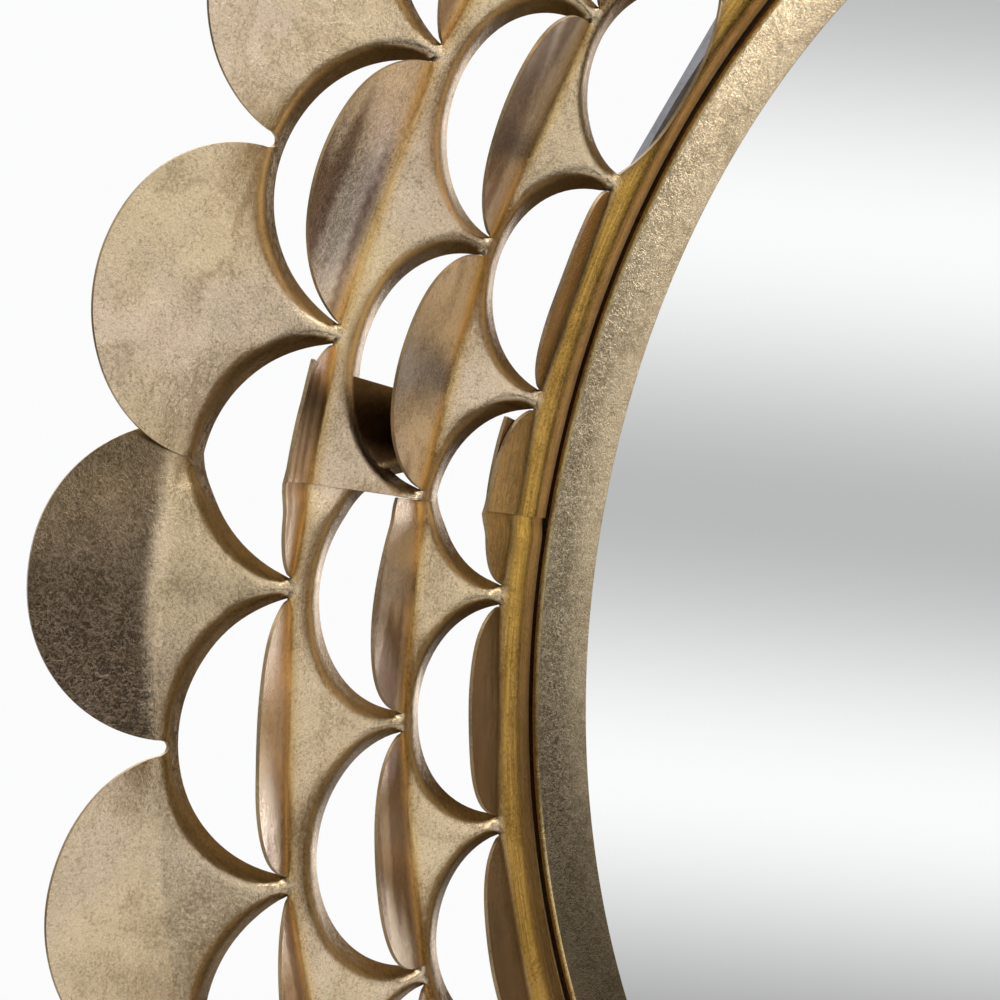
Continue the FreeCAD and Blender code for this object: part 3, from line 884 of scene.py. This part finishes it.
def pressed(number, flat, code):
    """The formed places of a sector's flat points, which points stay, and the leaf's masks of painted shade
    and painted reflections.
    """
    radial, across = flat[:, 0], flat[:, 2]
    rho = np.hypot(radial, across)
    phi = np.arctan2(across, radial)
    r_true = np.where(rho < third_circle, true_radius(rho), rho)
    new_r, new_f, new_phi = r_true.copy(), forward_at(np.clip(rho, None, notch_circle)), phi.copy()
    keep = np.ones(len(rho), dtype=bool)
    facts_of, dice = flap_facts(number)
    before = flap_facts((number - 2) % sectors + 1)[0]
    for row in ("first", "third"):
        lean, curl, twist = before[row, petals - 0.5]
        facts_of[row, -0.5] = (leans_by_hand.get((number, row, -0.5), lean), curl, twist)
    fade = joggle + (petal_joggle - joggle) * smooth((rho - notch_floor) / joggle_run)
    lap_end = -pitch / 2 + lap_angle
    seam_depth = lap_depth * smooth((lap_end + fade - phi) / fade)
    under_tab = phi < -pitch / 2 - seam_touch
    lapped_share = 1 - (1 - under_share) * smooth((lap_end - phi) / under_fade)
    brim_shade, painted_sheen, painted_dark_bands = np.zeros((3, len(rho)))
    # Painted gold reflection on the ridge by the ring, painted shade on the tab and painted shadow at the rim
    # by the ring's gap
    ridge = smooth((ridge_top - rho) / ridge_fade)
    painted_gold_reflection = ridge
    painted_shade = np.maximum(under_tab * tab_shade, rim_shadow * smooth((rim_shade - rho) / rim_fade))

    for row, circle in neck_circles.items():
        # Where each point lies in its petal: u beyond the crease, v along it
        halfway = 0.0 if row == "second" else 0.5
        chord, half, centre, radius = arc_of(circle, cut_heights[row])
        index = np.round(phi / pitch - halfway) + halfway
        local = phi - index * pitch
        u = rho * np.cos(local) - chord
        v = rho * np.sin(local)
        beside = np.abs(v) < half
        crease_rho = np.hypot(chord, v)
        is_flap = code == flap_codes[row]
        bare = np.array([(number, i) in bare_cuts for i in index]) & (row == "third")
        plain = under_tab & (row == "second")

        # The flap and the crease beside it are bent forward
        facts = np.array([facts_of.get((row, i), plain_flap) for i in index])
        lean = np.radians(facts[:, 0] + facts[:, 2] * v / half)
        curl = np.radians(facts[:, 1])
        width = crease_width * np.sqrt(np.clip(1 - (v / half) ** 4, 0.02, 1.0))
        base = sheet_slope(crease_rho)
        grow = flap_heights[row] / cut_heights[row]
        t = np.where(is_flap, u * grow * lapped_share, u)
        out, forward, direction = bend_path(t, width, base, lean, curl, flap_heights[row])
        near = (code == 0) & beside & (u > -width / 2) & (u < touch) & ~bare & ~plain
        moved = is_flap | near
        bent_r = np.where(is_flap, np.hypot(chord + out, v), r_true + out - t * np.cos(base))
        new_r = np.where(moved, bent_r, new_r)
        new_phi = np.where(is_flap, np.arctan2(v, chord + out) + index * pitch, new_phi)
        new_f = np.where(moved, forward_at(crease_rho) + forward, new_f)
        lap = np.where(is_flap, seam_depth, 0.0)
        new_r += lap * np.sin(direction)
        new_f += lap * (1 - np.cos(direction))

        # A bare cut has no flap, and its root is bitten back towards the rim
        keep &= ~(is_flap & bare)
        trim = bare & (code == 0) & beside & (u > -bare_reach) & (u < touch)
        bite = bare_bite * np.clip(1 - (v / half) ** 2, 0, 1) * np.clip(1 + u / bare_reach, 0, 1)
        cut_rho = rho - bite
        new_r = np.where(trim, np.where(cut_rho < third_circle, true_radius(cut_rho), cut_rho), new_r)
        new_f = np.where(trim, forward_at(cut_rho), new_f)

        # The outer edge of the arc is rolled back, narrower towards its cusps
        out_of_arc = np.hypot(u + chord - centre, v) - radius
        cusp = (chord - centre) / radius
        from_cusp = np.clip(((u + chord - centre) / radius - cusp) / (1 - cusp), 0.0, 1.0)
        brim = brim_width * (cusp_share + (1 - cusp_share) * from_cusp ** cusp_power)
        rolled = (code == 0) & (u > -edge_ease) & (out_of_arc > -arc_ease) & (out_of_arc < brim) & ~plain
        depth = np.clip(1 - np.maximum(out_of_arc, 0) / brim, 0, 1)
        drop = np.where(depth < brim_ease, depth ** 2 / (2 * brim_ease), depth - brim_ease / 2)
        new_f = new_f - np.where(rolled, drop * brim * brim_slope, 0.0)

        # The leaf: painted shade on the rolled brims, painted gold reflection in the crease valleys, and on
        # the flaps a painted cool sheen with painted dark reflection bands, or painted gold reflection and
        # painted shade in the third row
        brim_shade = np.maximum(brim_shade, np.where(rolled, smooth(depth * brim_shade_gain), 0.0))
        valley = np.exp(-(t / valley_width) ** 2) * beside * (moved | (u < 0)) * ~plain
        painted_gold_reflection = np.maximum(painted_gold_reflection, valley * valley_reflection)
        if row == "third":
            into_flap = smooth((t + edge_ease) / flap_fade) * beside * moved
            shares = np.array([third_flap_shades.get((number, i), 0.5) for i in index])
            painted_gold_reflection = np.maximum(painted_gold_reflection, into_flap)
            painted_shade = np.maximum(painted_shade, np.maximum(into_flap * shares, valley * valley_shade))
        else:
            sheen_share = smooth((t - painted_sheen_start) / painted_sheen_fade) * is_flap
            bands = noise_on(t * band_rates[0], v * band_rates[1], index * 2.7 + number)
            painted_sheen = np.maximum(painted_sheen, sheen_share)
            painted_dark_bands = np.maximum(painted_dark_bands, sheen_share * smooth((bands + band_shift) / band_width))

    # The outer petals bulge and lean
    chord = notch_circle * math.cos(pitch / 2)
    half = chord * math.tan(pitch / 2)
    index = np.clip(np.round(phi / pitch), 0, petals - 1)
    local = phi - index * pitch
    v = rho * np.sin(local)
    bulge = outer_bulge * np.clip(1 - (v / half) ** 2, 0, 1)
    u = rho * np.cos(local) - chord - bulge
    leans = [outer_lean + dice.uniform(-tip_spread, tip_spread) for k in range(petals)]
    tip_lean = np.radians([tips_by_hand.get((number, int(i)), leans[int(i)]) for i in index])
    root_rho = np.minimum(np.hypot(chord + bulge, v), notch_circle)
    rise = forward_at(root_rho - touch) - forward_at(root_rho - root_probe)
    base = np.arctan(rise / (root_probe - touch))
    width = np.full_like(u, crease_width * tip_crease)
    forward = bend_path(u, width, base, tip_lean, np.full_like(u, tip_curl), tip_height)[1]
    blend = smooth((u + crease_width) / (tip_blend * crease_width))
    is_tip = (u > -crease_width) & (code == 0)
    new_f = np.where(is_tip, new_f * (1 - blend) + (forward_at(root_rho) + forward) * blend, new_f)
    # A listed petal tip is darkened as painted shade
    tip_shade = np.array([tip_shades.get((number, int(i)), 0.0) for i in index])
    painted_shade = np.maximum(painted_shade, tip_shade * smooth((u + edge_ease) / flap_fade))
    new_f = new_f - seam_depth

    # The beaten sheet is a little wavy, and the formed sector is turned to its place
    x = new_r * np.cos(new_phi)
    z = new_r * np.sin(new_phi)
    waves = noise_on(x * wave_rate, z * wave_rate, number * 3.7) * wave_height
    ripples = noise_on(x * ripple_rate, z * ripple_rate, number * 9.1) * ripple_height
    new_f = new_f + smooth((rho - calm_circle) / calm_run) * (waves + ripples)
    angle = first_petal + (number - 1) * 2 * math.pi / sectors
    c, s = math.cos(angle), math.sin(angle)
    formed = np.stack([x * c - z * s, ring_front - new_f, x * s + z * c], axis=1)
    # Painted shade: the ridge by the ring is darkened by a set share, and more towards the bottom
    bottom_shade = smooth((bottom_shade_high - formed[:, 2]) / (bottom_shade_high - bottom_shade_low))
    painted_shade = np.maximum(painted_shade, ridge * (ridge_shade_shares[0] + ridge_shade_shares[1] * bottom_shade))
    return formed, keep, {"brim_shade": brim_shade, "painted_gold_reflection": painted_gold_reflection, "painted_shade": painted_shade, "painted_sheen": painted_sheen, "painted_dark_bands": painted_dark_bands}


def hardened(mesh, degrees=35):
    """Smooth shading, with sharp edges where faces meet steeply."""
    sketch = sketch_of(mesh)
    limit = math.radians(degrees)
    for face in sketch.faces:
        face.smooth = True
    for edge in sketch.edges:
        edge.smooth = len(edge.link_faces) == 2 and edge.calc_face_angle(0.0) < limit
    written(sketch, mesh)


def thickened(mesh, name):
    """A sheet of the real thickness round a middle surface, with its own finish on edges and back."""
    for material in (sheared_edge, back_leaf):
        mesh.materials.append(material)
    blank = shown(name, mesh)
    solid = blank.modifiers.new("sheet", "SOLIDIFY")
    solid.thickness = sheet
    solid.offset = 0.0
    solid.use_rim = True
    solid.material_offset = 2
    solid.material_offset_rim = 1
    made = evaluated(blank)
    blank.modifiers.clear()
    blank.data = made
    made.name = name
    hardened(made)
    return blank


for number in range(1, sectors + 1):
    mesh = flat_sheet.copy()
    flat = np.array([vert.co[:] for vert in mesh.vertices])
    code = np.zeros(len(flat))
    mesh.attributes["flap"].data.foreach_get("value", code)
    formed, keep, masks = pressed(number, flat, np.round(code))
    for name, values in masks.items():
        mesh.attributes.new(name, "FLOAT", "POINT").data.foreach_set("value", values)
    mesh.vertices.foreach_set("co", formed.astype(np.float32).ravel())
    sketch = sketch_of(mesh)
    sketch.verts.ensure_lookup_table()
    outside = [vert for vert, kept in zip(sketch.verts, keep) if not kept]
    bmesh.ops.delete(sketch, geom=outside, context="VERTS")
    formed_sheet = thickened(written(sketch, mesh), "petal_sheet_%d" % number)
    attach(formed_sheet, "mirror")
    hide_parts("flower_sector_%d" % number)

# Ring. A flat iron face laid with coarser, more rubbed leaf and painted darker towards the bottom as painted
# shade, and a wall where the red-brown ground shows through, with painted shadow on its back part. It is
# turned from its section, with its corners rounded by the rubbing.
ring_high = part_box("mirror_ring")[1]
ring_outer = ring_high.x
sight_radius = 266.0 * mm
ring_wall = 3.0 * mm
lip_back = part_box("glass_pads")[0].y
corner = 0.4 * mm
corner_steps = 4
face_end = (0.3 * mm, 0.02 * mm)
face_drop = 0.12 * mm
flange = 1.1 * mm
flange_foot = 0.5 * mm
gilt_depth = 1.4 * mm
bole_depth = 2.8 * mm
ring_steps = 360
face_tilt = math.tan(math.radians(5.0))
face_leaf = leafed(
    "face_leaf", bump=0.42, dish=5.0, glance=(0.85, 0.72, 0.52), light=(0.98, 0.80, 0.53),
    warm=(0.98, 0.78, 0.52), shade=(0.44, 0.33, 0.19), fleck=(0.34, 0.25, 0.14), fleck_share=0.75,
    fleck_size=0.6 * mm, crinkle_size=1.4 * mm, blotch_size=7.0 * mm, blotch_share=0.7, roughness_low=0.15,
    roughness_high=0.32, worm_share=0.35)
gilt_edge = leafed(
    "gilt_edge", light=(1.0, 0.82, 0.42), warm=(0.95, 0.72, 0.30), shade=(0.50, 0.36, 0.15),
    fleck=(0.20, 0.12, 0.05), fleck_share=0.4, roughness_low=0.16, roughness_high=0.30)
bole_edge = leafed(
    "bole_edge", light=(0.86, 0.50, 0.20), warm=(0.80, 0.36, 0.14), shade=(0.40, 0.18, 0.07),
    fleck=(0.12, 0.05, 0.02), fleck_share=0.5, roughness_low=0.24, roughness_high=0.40)
# The wall's back part and the hidden inner wall are painted nearly black, as painted shadow in the gap
painted_shadow_wall = leafed(
    "painted_shadow_wall", light=(0.16, 0.10, 0.05), warm=(0.12, 0.07, 0.035), shade=(0.06, 0.035, 0.02),
    fleck=(0.05, 0.02, 0.01), fleck_share=0.7, roughness_low=0.26, roughness_high=0.42)


def banded(loops, closed=True):
    """Points and faces of loops, each joined to the next one, and the last to the first if closed."""
    count, sides = len(loops), len(loops[0])
    faces = []
    for i in range(count if closed else count - 1):
        for j in range(sides):
            here, after = i * sides, (i + 1) % count * sides
            k = (j + 1) % sides
            faces.append((here + j, here + k, after + k, after + j))
    return [tuple(point) for loop in loops for point in loop], faces


def closed_shape(name, points, faces, materials, slots=None, degrees=35):
    """An object of a closed shape, with its faces turned outwards and smooth up to a steep edge."""
    mesh = bpy.data.meshes.new(name)
    mesh.from_pydata(points, [], faces)
    for material in materials:
        mesh.materials.append(material)
    if slots:
        mesh.polygons.foreach_set("material_index", slots)
    sketch = sketch_of(mesh)
    bmesh.ops.recalc_face_normals(sketch, faces=sketch.faces)
    hardened(written(sketch, mesh), degrees)
    return shown(name, mesh)


def eased(r, y):
    """A rounded corner at (r, y) of a body that lies outwards and behind."""
    turns = [math.pi / 2 * i / corner_steps for i in range(corner_steps + 1)]
    return [(r + corner - corner * math.cos(turn), y + corner - corner * math.sin(turn)) for turn in turns]


inner_wall = ring_outer - ring_wall
outer_front = ring_front + (ring_outer - sight_radius) * face_tilt
section = eased(sight_radius, ring_front) + [
    (ring_outer - face_end[0], outer_front - face_end[1]), (ring_outer, outer_front + face_drop),
    (ring_outer + flange, outer_front + gilt_depth), (ring_outer + flange, outer_front + bole_depth),
    (ring_outer, outer_front + bole_depth + flange_foot), (ring_outer, ring_high.y),
    (inner_wall, ring_high.y), (inner_wall, lip_back), (sight_radius, lip_back),
]


def ring_finish(r, y):
    """The slot of a part of the ring: its face, its gilt edge, the red-brown ground, or the rest, which is
    painted dark as shadow.
    """
    if r > sight_radius + corner * 0.3 and y < outer_front + 0.1 * mm:
        return 0
    if r < inner_wall + corner or y > outer_front + bole_depth:
        return 3
    return 1 if y < outer_front + gilt_depth else 2


def turns_round(count, first=0.0):
    """Evenly spaced angles right round an axis."""
    return [first + 2 * math.pi * i / count for i in range(count)]


loops = []
for turn in turns_round(ring_steps):
    loops.append([(r * math.cos(turn), y, r * math.sin(turn)) for r, y in section])
points, faces = banded(loops)
finishes = [ring_finish((r0 + r1) / 2, (y0 + y1) / 2)
            for (r0, y0), (r1, y1) in zip(section, section[1:] + section[:1])] * ring_steps
flat_ring = closed_shape("flat_ring", points, faces, [face_leaf, gilt_edge, bole_edge, painted_shadow_wall], finishes)
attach(flat_ring, "mirror")
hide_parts("mirror_ring")

# Glass. A round plate of float glass lies behind the ring's lip. It is silvered on its back and is seen as
# one bright face, so the whole plate has the silver's finish, with the faintest haze.
silver, tree, shader = blank_material("silvered_glass")
haze_size = 250 * mm
haze = noise_at(tree, add(tree, "ShaderNodeTexCoord").outputs["Object"], haze_size, 2.0)
put(tree, shader["Roughness"], step_between(tree, haze, 0.3, 0.7, 0.012, 0.03))
put(tree, shader["Base Color"], mixed(tree, haze, (0.94, 0.95, 0.95), (0.96, 0.96, 0.965)))
shader["Metallic"].default_value = 1.0


def dressed(node, material):
    """A CAD node's own shape in a better finish."""
    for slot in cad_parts[node].material_slots:
        slot.material = material


dressed("mirror_glass", silver)

# Ironwork on the back. The hoop, the tabs that hold the board and the two bars are bare grey iron, welded
# together. The layout tree sets out the spot welds and the drops of metal that make up the weld beads.
grey_iron = leafed(
    "grey_iron", metallic=0.3, light=(0.42, 0.425, 0.46), warm=(0.37, 0.37, 0.40), shade=(0.28, 0.28, 0.30),
    fleck=(0.19, 0.185, 0.19), fleck_share=0.35, roughness_low=0.42, roughness_high=0.6)
weld_iron = leafed(
    "weld_iron", metallic=0.7, light=(0.30, 0.29, 0.29), warm=(0.24, 0.20, 0.17), shade=(0.14, 0.12, 0.11),
    fleck=(0.07, 0.05, 0.04), roughness_low=0.35, roughness_high=0.6)
for node in ("support_hoop", "board_tabs", "hanger_bar_left", "hanger_bar_right"):
    dressed(node, grey_iron)

hoop_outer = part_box("support_hoop")[1].x
tab_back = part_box("board_tabs")[1].y
tab_count = 6
tab_spot_inset = 3.0 * mm
strap_spot_heights = (5.5 * mm, 16.0 * mm)
spot_radius = 2.6 * mm
spot_rise = 0.35
bar_angle = math.radians(30)
bar_weld = 276.0 * mm
bar_weld_y = 0.6 * mm
bar_half = 45.3 * mm
rim_foot = 286.4 * mm
rim_weld_y = -3.0 * mm
bead_drops = 4
bead_pitch = 2.1 * mm
bead_shake = 0.15 * mm
drop_radius = 1.6 * mm
drop_rise = 0.75
apart = 0.0001 * mm
strap = 1.2 * mm
plate_low, plate_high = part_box("hanger_strap_left")
pivots = {}
for side in ("left", "right"):
    low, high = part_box("hanger_strap_" + side)
    pivots[side] = (low.x + high.x) / 2


def polar(radius, angle, y):
    """A place given by its distance and angle round the mirror's axis."""
    return Vector((radius * math.cos(angle), y, radius * math.sin(angle)))


def drop_mesh(radius, rise):
    """A flattened round drop of metal that rises along +Y."""
    sketch = bmesh.new()
    bmesh.ops.create_uvsphere(sketch, u_segments=14, v_segments=8, radius=radius)
    bmesh.ops.rotate(sketch, verts=sketch.verts, cent=(0, 0, 0), matrix=Matrix.Rotation(-math.pi / 2, 3, "X"))
    bmesh.ops.scale(sketch, verts=sketch.verts, vec=(1.0, rise, 1.0))
    return written(sketch, bpy.data.meshes.new("drop"))


def fixed_on(name, cell, spots, material):
    """Smooth copies of a small mesh at (place, turn about Y), as one piece that rides on the mirror."""
    mesh = laid_out(cell, spots, apart, material)
    for face in mesh.polygons:
        face.use_smooth = True
    made = shown(name, mesh)
    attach(made, "mirror")
    return made


spots = [(polar(hoop_outer - tab_spot_inset, turn, tab_back), 0.0) for turn in turns_round(tab_count)]
for middle_x in pivots.values():
    spots += [(Vector((middle_x, plate_low.y + strap, plate_low.z + up)), 0.0) for up in strap_spot_heights]
spot_welds = fixed_on("spot_welds", drop_mesh(spot_radius, spot_rise), spots, weld_iron)

dice = random.Random(7)
drops = []
for side_angle in (bar_angle, math.pi - bar_angle):
    along = polar(1.0, side_angle + math.pi / 2, 0.0)
    for end in (-bar_half, bar_half):
        for i in range(bead_drops):
            place = polar(bar_weld + i * bead_pitch, side_angle, bar_weld_y)
            place.y += dice.uniform(-bead_shake, bead_shake)
            drops.append((place + along * end, -side_angle))
for neck in turns_round(sectors * petals, first_petal):
    for i in range(bead_drops):
        angle = neck + (i - (bead_drops - 1) / 2) * bead_pitch / rim_foot
        drops.append((polar(rim_foot, angle, rim_weld_y + dice.uniform(-bead_shake, bead_shake)), -angle))
weld_beads = fixed_on("weld_beads", drop_mesh(drop_radius, drop_rise), drops, weld_iron)

# Board, pads and bumpers. The board is raw hardboard with a pressed screen pattern and fibres in it; foam
# pads hold the glass off the ring's lip, and four moulded rubber blocks stand off the wall.
cloud_factor = 22


def grained_material(name, light, dark, size, low, high, bump=0.2, screen=0.0):
    """A matt material of two tones in a fine grain, with an optional pressed screen pattern on it."""
    material, tree, shader = blank_material(name)
    place = add(tree, "ShaderNodeTexCoord").outputs["Object"]
    speckle = noise_at(tree, place, size, 6.0, 0.7, 1.2)
    clouds = noise_at(tree, place, size * cloud_factor, 3.0, 0.6, 0.5, 3.3)
    shade = sum_up(tree, "MULTIPLY_ADD", speckle, 0.65, times(tree, clouds, 0.35))
    height = speckle
    if screen:
        axes = axes_of(tree)
        turns = [times(tree, axes[name], 2 * math.pi / screen) for name in "XZ"]
        waves = [sum_up(tree, "SINE", turn) for turn in turns]
        height = sum_up(tree, "MULTIPLY_ADD", times(tree, *waves), 0.5, speckle)
    relief = add(tree, "ShaderNodeBump", {"Strength": bump, "Distance": relief_depth, "Height": height})
    put(tree, shader["Base Color"], mixed(tree, step_between(tree, shade, 0.36, 0.64), dark, light))
    put(tree, shader["Roughness"], step_between(tree, speckle, 0.3, 0.7, high, low))
    put(tree, shader["Normal"], relief.outputs[0])
    return material


hardboard = grained_material(
    "hardboard", (0.33, 0.22, 0.125), (0.20, 0.125, 0.07), 2.2 * mm, 0.72, 0.9, 0.35, screen=1.7 * mm)
foam = grained_material("foam", (0.060, 0.060, 0.062), (0.025, 0.025, 0.026), 0.7 * mm, 0.85, 0.98, 0.6)
rubber = grained_material("rubber", (0.055, 0.055, 0.057), (0.034, 0.034, 0.035), 1.2 * mm, 0.45, 0.65, 0.12)
dressed("backing_board", hardboard)
dressed("glass_pads", foam)

bumper_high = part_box("wall_bumpers")[1]
bumper_count = 4
bumper_first = math.radians(45)
bumper_side = 20.0 * mm
bumper_middle = bumper_high.x * math.sqrt(2) - bumper_side
bumper_round = 2.4 * mm
bumper_lip = 4.2 * mm
bumper_hollow = 1.2 * mm
bumper_taper = 0.06
sketch = bmesh.new()
bmesh.ops.create_cube(sketch, size=1.0)
bmesh.ops.scale(sketch, verts=sketch.verts, vec=(bumper_side, bumper_high.y, bumper_side))
bmesh.ops.translate(sketch, verts=sketch.verts, vec=(0, bumper_high.y / 2, 0))
top = [face for face in sketch.faces if face.normal.y > 0.5]
bmesh.ops.inset_region(sketch, faces=top, thickness=bumper_lip, depth=0.0)
bmesh.ops.translate(sketch, verts=top[0].verts, vec=(0, -bumper_hollow, 0))
edges = [edge for edge in sketch.edges if max(vert.co.y for vert in edge.verts) > 0.5 * mm]
bmesh.ops.bevel(
    sketch, geom=edges, offset=bumper_round, segments=5, affect="EDGES", profile=0.5, clamp_overlap=True)
for vert in sketch.verts:
    taper = 1.0 - bumper_taper * vert.co.y / bumper_high.y
    vert.co.x *= taper
    vert.co.z *= taper
bumper_spots = [(polar(bumper_middle, turn, 0.0), -turn) for turn in turns_round(bumper_count, bumper_first)]
bumper_cell = written(sketch, bpy.data.meshes.new("bumper"))
moulded_bumpers = fixed_on("moulded_bumpers", bumper_cell, bumper_spots, rubber)
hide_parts("wall_bumpers")

# Hangers. A zinc-plated strap is rolled into an eye at its top and spot-welded to its bar, and a ring of
# round wire, bent to a D, turns in the eye. Strap and wire are each a section carried along a path.
zinc = leafed(
    "zinc", bump=0.10, light=(0.66, 0.67, 0.68), warm=(0.62, 0.62, 0.60), shade=(0.46, 0.46, 0.47),
    fleck=(0.30, 0.30, 0.30), fleck_share=0.25, roughness_low=0.22, roughness_high=0.42)
wire = 1.5 * mm
wire_low, wire_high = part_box("hanging_ring_left")
axle = Vector((0.0, (wire_low.y + wire_high.y) / 2, wire_high.z - wire))
strap_half = (plate_high.x - plate_low.x) / 2
strap_ease = 0.25 * mm
strap_steps = 6
eye_play = 0.08 * mm
eye = wire + eye_play + strap / 2
eye_turn = math.radians(300)
eye_steps = 28
knee_drop = 4.0 * mm
knee_pull = 2.4 * mm
knee_steps = 5
bow = 11.0 * mm
bow_dip = math.radians(16)
bow_steps = 32
axle_half = 9.2 * mm
axle_steps = 8
bend_steps = 6
wire_sides = 18


def swept(name, path, side, section, closed):
    """A section of (sideways, outward) corners carried along a path that lies across one side direction."""
    loops = []
    for i, point in enumerate(path):
        before = path[i - 1] if closed or i else point
        after = path[(i + 1) % len(path)] if closed or i + 1 < len(path) else point
        outward = (after - before).normalized().cross(side)
        loops.append([point + side * a + outward * b for a, b in section])
    points, faces = banded(loops, closed)
    if not closed:
        faces += [tuple(range(len(section))), tuple(range(len(points) - len(section), len(points)))]
    return closed_shape(name, points, faces, [zinc], degrees=50)


def curved(start, control, end, steps):
    """Points along a soft bend from start to end, without its start."""
    shares = [i / steps for i in range(1, steps + 1)]
    return [start * (1 - t) ** 2 + control * (2 * t * (1 - t)) + end * t * t for t in shares]


def on_bow(centre, turn):
    """A point of the ring's round bow, which hangs down from its axle."""
    return centre + Vector((bow * math.cos(turn), 0, -bow * math.sin(turn)))


wide, thick = strap_half - strap_ease, strap / 2 - strap_ease
strap_section = [(strap_half, -thick), (strap_half, thick), (wide, strap / 2), (-wide, strap / 2),
                 (-strap_half, thick), (-strap_half, -thick), (-wide, -strap / 2), (wide, -strap / 2)]
wire_section = [(wire * math.cos(turn), wire * math.sin(turn)) for turn in turns_round(wire_sides)]
for side, middle_x in pivots.items():
    centre = axle + Vector((middle_x, 0, 0))
    foot = Vector((middle_x, plate_low.y + strap / 2, plate_low.z))
    knee = Vector((middle_x, foot.y, centre.z - knee_drop))
    path = [foot + (knee - foot) * i / strap_steps for i in range(strap_steps + 1)]
    pull = Vector((middle_x, centre.y - eye, centre.z - knee_pull))
    path += curved(knee, pull, centre - Vector((0, eye, 0)), knee_steps)
    for i in range(1, eye_steps + 1):
        turn = eye_turn * i / eye_steps
        path.append(centre + Vector((0, -eye * math.cos(turn), eye * math.sin(turn))))
    rolled_strap = swept("rolled_strap_" + side, path, Vector((1, 0, 0)), strap_section, False)
    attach(rolled_strap, "mirror")
    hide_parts("hanger_strap_" + side)

    loop = [centre + Vector((axle_half * (2 * i / axle_steps - 1), 0, 0)) for i in range(axle_steps + 1)]
    loop += curved(loop[-1], on_bow(centre, 0.0), on_bow(centre, bow_dip), bend_steps)
    for i in range(1, bow_steps + 1):
        loop.append(on_bow(centre, bow_dip + (math.pi - 2 * bow_dip) * i / bow_steps))
    loop += curved(loop[-1], centre - Vector((bow, 0, 0)), loop[0], bend_steps)[:-1]
    wire_ring = swept("wire_ring_" + side, loop, Vector((0, 1, 0)), wire_section, True)
    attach(wire_ring, "hanging_ring_" + side)
    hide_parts("hanging_ring_" + side)
